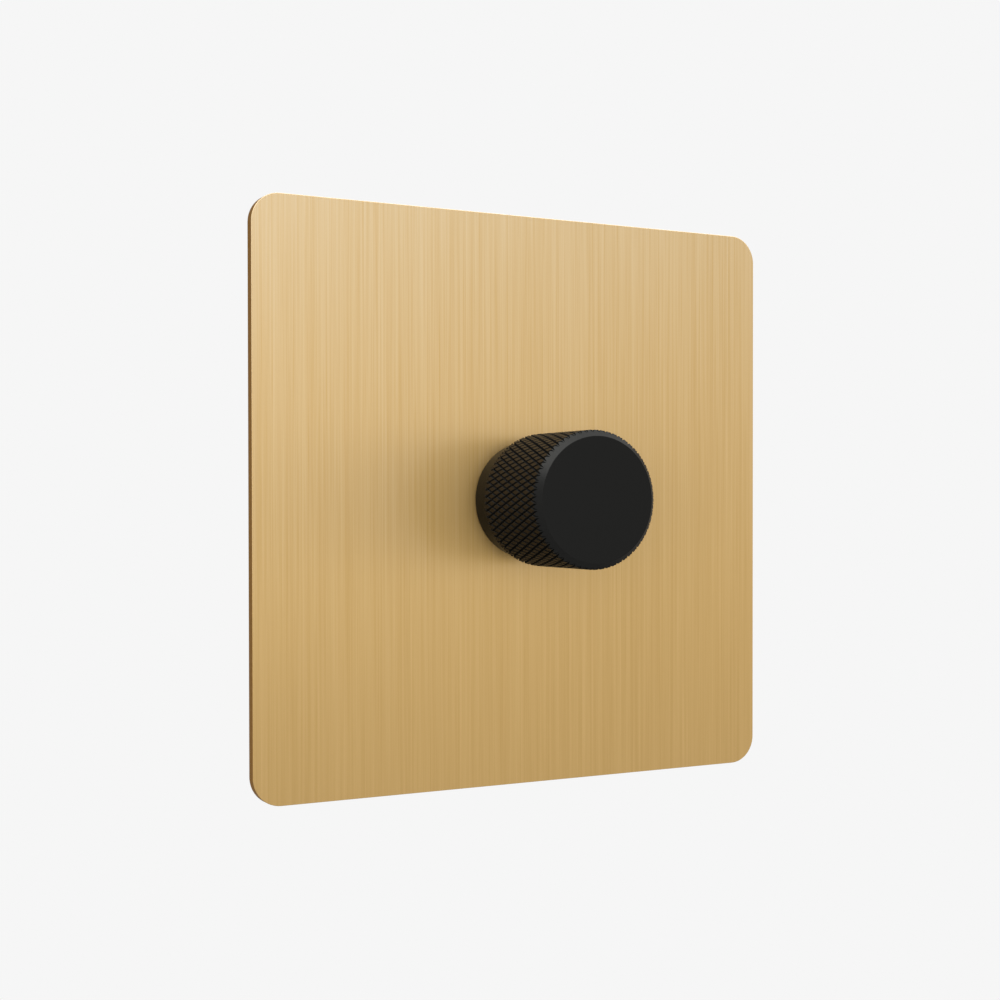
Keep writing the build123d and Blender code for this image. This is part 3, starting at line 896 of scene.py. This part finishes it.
    def _collar(self) -> bpy.types.Object:
        """Turn the smooth collar with a rounded back edge.

        Returns:
            The closed form, which reaches into the grip.
        """
        base, top = self.collar_base_radius, self.collar_top_radius
        inside = self.grip_back - self.half_pitch
        rounding = quarter_round(self.collar_rounding, self.rounding_steps)
        profile = [(0, inside), (top - self.depth, inside), (top, self.grip_back)]
        profile += [(base - inset, self.back - drop) for inset, drop in rounding]
        return turned("knob_collar", profile + [(0, self.back)], self.steps)

    def _bore(self) -> bpy.types.Object:
        """Make the cutter of the six-sided bore for the insert.

        Returns:
            The cutter.
        """
        shape = bmesh.new()
        deepest = self.front + self.face_wall
        length = self.back - deepest + self.bore_room
        half_side = math.pi / self.bore_sides
        turn = Matrix.Rotation(QUARTER_TURN, 4, "X") @ Matrix.Rotation(half_side, 4, "Z")
        place = Matrix.Translation((0, (deepest + length / 2) * MM, 0)) @ turn
        radius = self.bore_flats / 2 / math.cos(half_side) * MM
        bmesh.ops.create_cone(
            shape, cap_ends=True, segments=self.bore_sides, radius1=radius, radius2=radius, depth=length * MM,
            matrix=place,
        )
        return piece_from(shape, "knob_bore")


@dataclass
class SlottedScrews:
    """Slotted machine screws of one size, side by side.

    Attributes:
        node: The CAD node that they stand for.
        radius: The radius over the thread.
        pitch: The pitch of the thread.
        drive: The way the driven end points.
        head_radius: The radius of the pan head, or nothing for a headless screw.
        head_height: The height of that head.
        thread_depth: The depth of the thread.
        tip: The length of the bevel at the tip.
        slot_width: The width of the slot.
        slot_depth: The depth of the slot.
        sides: The number of steps around.
        rings_per_turn: The number of steps along one turn of the thread.
        dome_steps: The number of steps up the head.
        dome_share: The share of the head's radius that its top lacks.
        dome_power: How late the head draws in towards its top.
        sharp_degrees: The angle above which an edge looks sharp.
    """

    node: str
    radius: float
    pitch: float
    drive: Drive = Drive.TO_WALL
    head_radius: float = 0.0
    head_height: float = 0.0
    thread_depth: float = 0.25
    tip: float = 0.5
    slot_width: float = 0.7
    slot_depth: float = 0.9
    sides: int = 32
    rings_per_turn: int = 8
    dome_steps: int = 6
    dome_share: float = 0.3
    dome_power: float = 3.0
    sharp_degrees: float = 62.0

    def build(self) -> None:
        """Build the screws and dress them."""
        low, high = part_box(self.node)
        length = (high.y - low.y) / MM - self.head_height
        outer = max(self.radius, self.head_radius) * MM
        middle = high.y - length * MM / 2 if self.drive is Drive.TO_ROOM else low.y + length * MM / 2
        shape = bmesh.new()
        for x in sorted({round(low.x + outer, 6), round(high.x - outer, 6)}):
            shape.verts.new((x, middle, (low.z + high.z) / 2))
        screws = piece_from(shape, f"{self.node}_slotted")
        sizes = {
            "Radius": self.radius, "Length": length, "Pitch": self.pitch, "Thread Depth": self.thread_depth,
            "Tip": self.tip, "Head Radius": self.head_radius, "Head Height": self.head_height,
            "Slot Width": self.slot_width, "Slot Depth": self.slot_depth,
        }
        run_tree(screws, self._tree(list(sizes)), {
            **{label: size * MM for label, size in sizes.items()},
            "Sides": self.sides, "Rings": round(length / self.pitch * self.rings_per_turn),
            "Turn": self.drive.value, "Finish": ZINC_STEEL.material(),
        })
        clean(screws)
        shade(screws, self.sharp_degrees)
        install(screws, ZINC_STEEL, "base", self.node)

    def _tree(self, sizes: list[str]) -> bpy.types.NodeTree:
        """Make the tree that sets a slotted screw on each point.

        Args:
            sizes: The names of the lengths that it is given.

        Returns:
            The tree.
        """
        kinds = dict.fromkeys([*sizes, "Turn"], "NodeSocketFloat")
        kinds |= {"Sides": "NodeSocketInt", "Rings": "NodeSocketInt", "Finish": "NodeSocketMaterial"}
        tree, source = new_tree("slotted_screw", kinds)
        given = source.outputs
        body = self._shank(tree, given)
        if self.head_height:
            body = self._with_head(tree, given, body)
        upper = {0: given["Length"], 2: given["Head Height"]}
        top = add(tree, "ShaderNodeMath", {"operation": "MULTIPLY_ADD", 1: 0.5}, upper)
        radii = {0: given["Radius"], 1: given["Head Radius"]}
        widest = add(tree, "ShaderNodeMath", {"operation": "MAXIMUM"}, radii)
        # The blade is longer than the screw is wide, and its lower half makes the slot.
        across = add(tree, "ShaderNodeMath", {"operation": "MULTIPLY", 1: 3.0}, {0: widest.outputs[0]})
        tall = add(tree, "ShaderNodeMath", {"operation": "MULTIPLY", 1: 2.0}, {0: given["Slot Depth"]})
        sides = {"X": given["Slot Width"], "Y": across.outputs[0], "Z": tall.outputs[0]}
        size = add(tree, "ShaderNodeCombineXYZ", {}, sides)
        block = add(tree, "GeometryNodeMeshCube", {}, {"Size": size.outputs[0]})
        lift = add(tree, "ShaderNodeCombineXYZ", {}, {"Z": top.outputs[0]})
        raised = {"Geometry": block.outputs[0], "Translation": lift.outputs[0]}
        blade = add(tree, "GeometryNodeTransform", {}, raised)
        slotted = add(
            tree, "GeometryNodeMeshBoolean", {"operation": "DIFFERENCE", "solver": "EXACT"},
            {"Mesh 1": body, "Mesh 2": blade.outputs[0]},
        )
        euler = add(tree, "ShaderNodeCombineXYZ", {}, {"X": given["Turn"]})
        rotation = add(tree, "FunctionNodeEulerToRotation", {}, {0: euler.outputs[0]})
        copies = add(
            tree, "GeometryNodeInstanceOnPoints", {},
            {"Points": given["Geometry"], "Instance": slotted.outputs[0], "Rotation": rotation.outputs[0]},
        )
        end_tree(tree, copies.outputs[0], given["Finish"])
        return tree

    def _shank(self, tree: bpy.types.NodeTree, given: Inputs) -> bpy.types.NodeSocket:
        """Wind a thread into an upright bar and bevel its lower end.

        Args:
            tree: The tree.
            given: The tree's inputs.

        Returns:
            The threaded bar, which reaches into the head.
        """
        reach = {0: given["Head Height"], 2: given["Length"]}
        depth = add(tree, "ShaderNodeMath", {"operation": "MULTIPLY_ADD", 1: 0.5}, reach)
        shape = {"Vertices": given["Sides"], "Side Segments": given["Rings"], "Radius": given["Radius"]}
        plain = add(tree, "GeometryNodeMeshCylinder", {}, {**shape, "Depth": depth.outputs[0]})
        quarter = add(tree, "ShaderNodeMath", {"operation": "MULTIPLY", 1: 0.25}, {0: given["Head Height"]})
        lift = add(tree, "ShaderNodeCombineXYZ", {}, {"Z": quarter.outputs[0]})
        raised = {"Geometry": plain.outputs["Mesh"], "Translation": lift.outputs[0]}
        bar = add(tree, "GeometryNodeTransform", {}, raised)
        position = add(tree, "GeometryNodeInputPosition").outputs[0]
        x, y, z = add(tree, "ShaderNodeSeparateXYZ", {}, {0: position}).outputs
        angle = add(tree, "ShaderNodeMath", {"operation": "ARCTAN2"}, {0: y, 1: x})
        turns = add(tree, "ShaderNodeMath", {"operation": "DIVIDE"}, {0: z, 1: given["Pitch"]})
        around = add(tree, "ShaderNodeMath", {"operation": "MULTIPLY", 1: math.tau}, {0: turns.outputs[0]})
        angles = {0: around.outputs[0], 1: angle.outputs[0]}
        phase = add(tree, "ShaderNodeMath", {"operation": "SUBTRACT"}, angles)
        wave = add(tree, "ShaderNodeMath", {"operation": "COSINE"}, {0: phase.outputs[0]})
        halved = {"operation": "MULTIPLY_ADD", 1: -0.5, 2: 0.5}
        share = add(tree, "ShaderNodeMath", halved, {0: wave.outputs[0]})
        depths = {0: share.outputs[0], 1: given["Thread Depth"]}
        groove = add(tree, "ShaderNodeMath", {"operation": "MULTIPLY"}, depths)
        height = add(tree, "ShaderNodeMath", {"operation": "MULTIPLY_ADD", 1: 0.5}, {0: given["Length"], 2: z})
        heights = {0: given["Tip"], 1: height.outputs[0]}
        short = add(tree, "ShaderNodeMath", {"operation": "SUBTRACT"}, heights)
        cuts = {0: groove.outputs[0], 1: short.outputs[0]}
        bevel = add(tree, "ShaderNodeMath", {"operation": "MAXIMUM"}, cuts)
        flat = add(tree, "ShaderNodeCombineXYZ", {}, {"X": x, "Y": y})
        outward = add(tree, "ShaderNodeVectorMath", {"operation": "NORMALIZE"}, {0: flat.outputs[0]})
        inward = add(tree, "ShaderNodeMath", {"operation": "MULTIPLY", 1: -1.0}, {0: bevel.outputs[0]})
        pulled = {0: outward.outputs[0], "Scale": inward.outputs[0]}
        drop = add(tree, "ShaderNodeVectorMath", {"operation": "SCALE"}, pulled)
        moved = {"Geometry": bar.outputs[0], "Offset": drop.outputs[0]}
        wound = add(tree, "GeometryNodeSetPosition", {}, moved)
        return wound.outputs[0]

    def _with_head(
        self, tree: bpy.types.NodeTree, given: Inputs, shank: bpy.types.NodeSocket
    ) -> bpy.types.NodeSocket:
        """Put a domed pan head on the upper end.

        Args:
            tree: The tree.
            given: The tree's inputs.
            shank: The threaded bar.

        Returns:
            The headed screw.
        """
        disc = add(
            tree, "GeometryNodeMeshCylinder", {"Side Segments": self.dome_steps},
            {"Vertices": given["Sides"], "Radius": given["Head Radius"], "Depth": given["Head Height"]},
        )
        position = add(tree, "GeometryNodeInputPosition").outputs[0]
        height = add(tree, "ShaderNodeSeparateXYZ", {}, {0: position}).outputs["Z"]
        ratio = add(tree, "ShaderNodeMath", {"operation": "DIVIDE"}, {0: height, 1: given["Head Height"]})
        rise = add(tree, "ShaderNodeMath", {"operation": "ADD", 1: 0.5}, {0: ratio.outputs[0]})
        dome = add(tree, "ShaderNodeMath", {"operation": "POWER", 1: self.dome_power}, {0: rise.outputs[0]})
        narrowed = {"operation": "MULTIPLY_ADD", 1: -self.dome_share, 2: 1.0}
        shrink = add(tree, "ShaderNodeMath", narrowed, {0: dome.outputs[0]}).outputs[0]
        factor = add(tree, "ShaderNodeCombineXYZ", {"Z": 1.0}, {"X": shrink, "Y": shrink}).outputs[0]
        pan = add(tree, "ShaderNodeVectorMath", {"operation": "MULTIPLY"}, {0: position, 1: factor})
        moved = {"Geometry": disc.outputs["Mesh"], "Position": pan.outputs[0]}
        domed = add(tree, "GeometryNodeSetPosition", {}, moved)
        lengths = {0: given["Length"], 1: given["Head Height"]}
        both = add(tree, "ShaderNodeMath", {"operation": "ADD"}, lengths)
        half = add(tree, "ShaderNodeMath", {"operation": "MULTIPLY", 1: 0.5}, {0: both.outputs[0]})
        lift = add(tree, "ShaderNodeCombineXYZ", {}, {"Z": half.outputs[0]})
        raised = {"Geometry": domed.outputs[0], "Translation": lift.outputs[0]}
        head = add(tree, "GeometryNodeTransform", {}, raised)
        joined = {"operation": "UNION", "solver": "EXACT"}
        union = add(tree, "GeometryNodeMeshBoolean", joined, {"Mesh 2": shank})
        tree.links.new(head.outputs[0], union.inputs["Mesh 2"])
        return union.outputs[0]


@dataclass
class SoftenedPart:
    """A CAD part whose edges are rounded as moulding, pressing or tumbling leaves them.

    Attributes:
        node: The CAD node.
        body: The body that it moves with.
        finish: Its finish.
        edge: The radius of its edges, in millimetres.
        edge_steps: The number of steps around an edge.
        flat_degrees: The angle up to which neighbouring faces count as one.
        sharp_degrees: The angle above which an edge is rounded.
        even_weight: How strongly the larger of two faces sets the shading between them.
    """

    node: str
    body: str
    finish: Finish
    edge: float
    edge_steps: int = 2
    flat_degrees: float = 0.5
    sharp_degrees: float = 40.0
    even_weight: int = 100

    def build(self) -> bpy.types.Object:
        """Copy the node with its flat faces joined and its edges rounded.

        Returns:
            The finished piece.
        """
        shape = bmesh.new()
        shape.from_mesh(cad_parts[self.node].data)
        bmesh.ops.remove_doubles(shape, verts=shape.verts, dist=MERGE_DISTANCE)
        flat = math.radians(self.flat_degrees)
        bmesh.ops.dissolve_limit(shape, angle_limit=flat, verts=shape.verts, edges=shape.edges)
        part = piece_from(shape, f"{self.node}_soft")
        self._work(part)
        bevel = part.modifiers.new("edges", "BEVEL")
        bevel.width = self.edge * MM
        bevel.segments = self.edge_steps
        bevel.limit_method = "ANGLE"
        bevel.angle_limit = math.radians(self.sharp_degrees)
        bevel.harden_normals = True
        settle(part)
        shade(part, self.sharp_degrees)
        even = part.modifiers.new("even_faces", "WEIGHTED_NORMAL")
        even.keep_sharp = True
        even.weight = self.even_weight
        settle(part)
        install(part, self.finish, self.body, self.node)
        return part

    def _work(self, part: bpy.types.Object) -> None:
        """Work the part further before its edges are rounded."""


@dataclass
class SnapLeaf(SoftenedPart):
    """The arched leaf under the shaft, which the push of the knob flattens.

    Attributes:
        joint: The joint that flattens it. Not used.
        travel: How far its crown goes down, in millimetres. Not used.
    """

    joint: str = "knob_push"
    travel: float = 0.5

    def build(self) -> bpy.types.Object:
        """Build the leaf and give it a mesh of its own.

        Returns:
            The finished piece.
        """
        leaf = super().build()
        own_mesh(leaf)
        return leaf


@dataclass
class VentedHousing(SoftenedPart):
    """The module's tub, with a row of cooling grooves moulded in its back.

    Attributes:
        count: The number of grooves.
        spacing: The distance between them.
        width: The width of a groove.
        length: The length of a groove.
        depth: The depth of a groove.
        middle_z: The height of the middle of the row.
        arc_steps: The number of steps around a groove's end.
    """

    count: int = 9
    spacing: float = 4.4
    width: float = 1.8
    length: float = 17.0
    depth: float = 0.9
    middle_z: float = 8.5
    arc_steps: int = 8

    def _work(self, part: bpy.types.Object) -> None:
        """Cut the grooves.

        Args:
            part: The tub.
        """
        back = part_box(self.node)[1].y
        cutter = self._cutter()
        tree, source = new_tree("groove_row", {
            "Count": "NodeSocketInt", "First": "NodeSocketVector", "Step": "NodeSocketVector",
            "Finish": "NodeSocketMaterial",
        })
        given = source.outputs
        line = add(
            tree, "GeometryNodeMeshLine", {"mode": "OFFSET"},
            {"Count": given["Count"], "Start Location": given["First"], "Offset": given["Step"]},
        )
        on_line = {"Points": line.outputs[0], "Instance": given["Geometry"]}
        copies = add(tree, "GeometryNodeInstanceOnPoints", {}, on_line)
        end_tree(tree, copies.outputs[0], given["Finish"])
        half_row = (self.count - 1) / 2 * self.spacing * MM
        run_tree(cutter, tree, {
            "Count": self.count, "First": (-half_row, back, self.middle_z * MM),
            "Step": (self.spacing * MM, 0.0, 0.0), "Finish": self.finish.material(),
        })
        combine(part, cutter, Solid.CUT)

    def _cutter(self) -> bpy.types.Object:
        """Make the round-ended bar that cuts one groove.

        Returns:
            The bar, with its middle at the origin.
        """
        radius, straight = self.width / 2, (self.length - self.width) / 2
        outline = []
        for end in (1, -1):
            for step in range(self.arc_steps + 1):
                angle = step / self.arc_steps * math.pi + (0 if end > 0 else math.pi)
                outline.append((radius * math.cos(angle), end * straight + radius * math.sin(angle)))
        shape = bmesh.new()
        ends = (-self.depth, self.depth)
        rings = [[shape.verts.new(Vector((x, y, z)) * MM) for x, z in outline] for y in ends]
        bridge(shape, *rings)
        for ring in rings:
            shape.faces.new(ring)
        return piece_from(shape, "groove_cutter")


@dataclass
class Studio:
    """Plain soft studio: pale surround, floor well below the object and soft lamps.

    Attributes:
        surround: The colour of the background, as sRGB hex.
        ambient: The strength of the surround as light on matt surfaces.
        floor_drop: How far the floor lies below the middle of the object.
        floor_radius: The radius of the floor.
        floor_sides: The number of steps around it.
        floor_roughness: Its roughness.
        floor_fade: The share of its radius over which it fades into the surround.
    """

    surround: str = "#F6F6F6"
    ambient: float = 0.25
    floor_drop: float = 420.0
    floor_radius: float = 520.0
    floor_sides: int = 96
    floor_roughness: float = 0.9
    floor_fade: float = 0.35

    def build(self) -> None:
        """Build the surround, the floor and the lamps."""
        bpy.context.scene.view_settings.view_transform = "Standard"
        self._surround()
        self._floor()
        self._lamp("top_softbox", (-220, -180, 400), (0.4, 0.4), 2.0)
        self._lamp("front_softbox", (-150, -430, 120), (0.5, 0.4), 0.86)
        self._lamp("ceiling_softbox", (230, -20, 450), (0.6, 0.7), 3.8)

    def _surround(self) -> None:
        """Make the world pale to the eye and in reflections, and dimmer as light."""
        world = bpy.data.worlds.new("studio")
        bpy.context.scene.world = world
        world.use_nodes = True
        tree = world.node_tree
        tree.nodes.clear()
        rays = add(tree, "ShaderNodeLightPath").outputs
        shown = rays["Is Camera Ray"]
        for ray in ("Is Glossy Ray", "Is Transmission Ray"):
            shown = add(tree, "ShaderNodeMath", {"operation": "MAXIMUM"}, {0: shown, 1: rays[ray]}).outputs[0]
        ends = {"To Min": self.ambient, "To Max": 1.0}
        strength = add(tree, "ShaderNodeMapRange", ends, {"Value": shown}).outputs["Result"]
        light = add(tree, "ShaderNodeBackground", {"Color": linear(self.surround)}, {"Strength": strength})
        add(tree, "ShaderNodeOutputWorld", {}, {"Surface": light.outputs[0]})

    def _floor(self) -> None:
        """Lay a pale round floor that keeps the object's shadow."""
        shape = bmesh.new()
        bmesh.ops.create_circle(
            shape, cap_ends=True, segments=self.floor_sides, radius=self.floor_radius * MM,
            matrix=Matrix.Translation((0, 0, -self.floor_drop * MM)),
        )
        floor = put("floor", mesh_from(shape, "floor"))
        material = bpy.data.materials.new("pale_floor")
        material.use_nodes = True
        tree = material.node_tree
        shader = tree.nodes["Principled BSDF"]
        shader.inputs["Base Color"].default_value = linear(self.surround)
        shader.inputs["Roughness"].default_value = self.floor_roughness
        across = 1 / (self.floor_radius * MM)
        place = add(tree, "ShaderNodeTexCoord").outputs["Object"]
        flat = add(tree, "ShaderNodeMapping", {"Scale": (across, across, 0.0)}, {"Vector": place})
        ball = {"gradient_type": "SPHERICAL"}
        inward = add(tree, "ShaderNodeTexGradient", ball, {"Vector": flat.outputs[0]})
        shown = add(tree, "ShaderNodeMapRange", {"From Max": self.floor_fade}, {"Value": inward.outputs[1]})
        tree.links.new(shown.outputs["Result"], shader.inputs["Alpha"])
        floor.data.materials.append(material)

    def _lamp(self, name: str, place: Point, size: tuple[float, float], power: float) -> None:
        """Hang a soft lamp that points at the object.

        Args:
            name: The lamp's name.
            place: Where it hangs, in millimetres.
            size: Its width and height, in metres.
            power: Its power, in watts.
        """
        light = bpy.data.lights.new(name, "AREA")
        light.shape = "RECTANGLE"
        light.size, light.size_y = size
        light.energy = power
        lamp = put(name, light)
        lamp.location = Vector(place) * MM
        lamp.rotation_euler = (-lamp.location).to_track_quat("-Z", "Y").to_euler()
        lamp.visible_camera = False


@dataclass
class PhotoCamera:
    """The camera that sees the object as the photograph does.

    Attributes:
        frame_pixels: The width of the frame, in pixels.
        focal_pixels: The focal length, in pixels of that frame.
        sensor: The sensor's width, in millimetres.
        yaw: The turn about the upright, in degrees, from the left of the knob.
        pitch: The downward tilt, in degrees.
        roll: The turn about the line of sight, in degrees.
        distance: The distance from the target, in millimetres.
        target_x: The target's place to the right.
        target_z: The target's height.
        rise: The upward shift of the lens, as a share of the frame.
        sidestep: Its shift to the right.
    """

    frame_pixels: int = 1000
    focal_pixels: float = 1559.82
    sensor: float = 36.0
    yaw: float = 27.772
    pitch: float = 0.759
    roll: float = 0.0688
    distance: float = 234.98
    target_x: float = -3.9348
    target_z: float = -3.5205
    rise: float = 0.02353
    sidestep: float = -0.00077

    def build(self) -> None:
        """Set up the camera."""
        yaw, pitch = math.radians(self.yaw), math.radians(self.pitch)
        level = math.cos(pitch)
        forward = Vector((math.sin(yaw) * level, math.cos(yaw) * level, -math.sin(pitch)))
        right = Vector((math.cos(yaw), -math.sin(yaw), 0))
        right.rotate(Matrix.Rotation(math.radians(self.roll), 3, forward))
        up = right.cross(forward)
        target = Vector((self.target_x * MM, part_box("front_plate")[0].y, self.target_z * MM))
        axes = Matrix((right, up, -forward)).transposed()
        lens = bpy.data.cameras.new("photo_camera")
        lens.sensor_width = self.sensor
        lens.lens = self.focal_pixels / self.frame_pixels * self.sensor
        lens.shift_x, lens.shift_y = self.sidestep, self.rise
        lens.clip_start = MM
        camera = put("photo_camera", lens)
        camera.matrix_world = Matrix.Translation(target - forward * self.distance * MM) @ axes.to_4x4()
        bpy.context.scene.camera = camera


SOFTENED = [
    SoftenedPart("plate_carrier", "base", BLACK_MOULDING, 0.2),
    SoftenedPart("mounting_yoke", "base", ZINC_STEEL, 0.15),
    SoftenedPart("wall_gasket", "base", GREY_RUBBER, 0.15),
    VentedHousing("module_housing", "base", BLACK_MOULDING, 0.35),
    SoftenedPart("heat_sink_plate", "base", ALUMINIUM, 0.12),
    SoftenedPart("terminal_pillars", "base", PLAIN_BRASS, 0.12),
    SoftenedPart("earth_terminal", "base", PLAIN_BRASS, 0.12),
    SnapLeaf("switch_leaf", "base", ZINC_STEEL, 0.03),
    SoftenedPart("encoder_bush", "base", ZINC_STEEL, 0.1),
    SoftenedPart("lock_washer", "base", ZINC_STEEL, 0.04),
    SoftenedPart("fixing_nut", "base", ZINC_STEEL, 0.15),
    SoftenedPart("encoder_case", "base", DARK_EPOXY, 0.1),
    SoftenedPart("encoder_base", "base", DARK_EPOXY, 0.15),
    SoftenedPart("encoder_rotor", "rotor", WHITE_MOULDING, 0.08),
    SoftenedPart("encoder_shaft", "knob_and_shaft", ZINC_STEEL, 0.1),
    SoftenedPart("knob_insert", "knob_and_shaft", BLACK_MOULDING, 0.1),
    SoftenedPart("insert_spring", "knob_and_shaft", ZINC_STEEL, 0.05),
    SoftenedPart("control_board", "base", BOARD, 0.1),
    SoftenedPart("power_board", "base", BOARD, 0.1),
    SoftenedPart("board_header", "base", DARK_EPOXY, 0.2),
    SoftenedPart("radio_module", "base", BOARD, 0.08),
    SoftenedPart("radio_shield", "base", ZINC_STEEL, 0.25),
    SoftenedPart("mosfets", "base", DARK_EPOXY, 0.15),
    SoftenedPart("thermal_pad", "base", SOFT_PAD, 0.08),
    SoftenedPart("fuse", "base", DARK_EPOXY, 0.35),
    SoftenedPart("film_capacitor", "base", AMBER_CASE, 0.6),
    SoftenedPart("bulk_capacitor", "base", DARK_EPOXY, 0.4),
    SoftenedPart("choke_core", "base", FERRITE, 0.3),
    SoftenedPart("choke_winding", "base", COPPER, 0.4),
]
SCREWS = [
    SlottedScrews("yoke_screws", 1.75, 0.6, Drive.TO_ROOM, 3.6, 2.1, slot_width=0.9, slot_depth=1.1),
    SlottedScrews("terminal_screws", 1.6, 0.7),
    SlottedScrews("earth_screw", 1.6, 0.7),
]


def main() -> None:
    """Build every piece, the studio and the camera, and log each piece's faces and finish."""
    logging.basicConfig(level=logging.INFO, format="%(name)s %(message)s")
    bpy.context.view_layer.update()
    FrontPlate().build()
    KnurledKnob().build()
    for part in (*SOFTENED, *SCREWS):
        part.build()
    Studio().build()
    PhotoCamera().build()


if __name__ == "__main__":
    main()
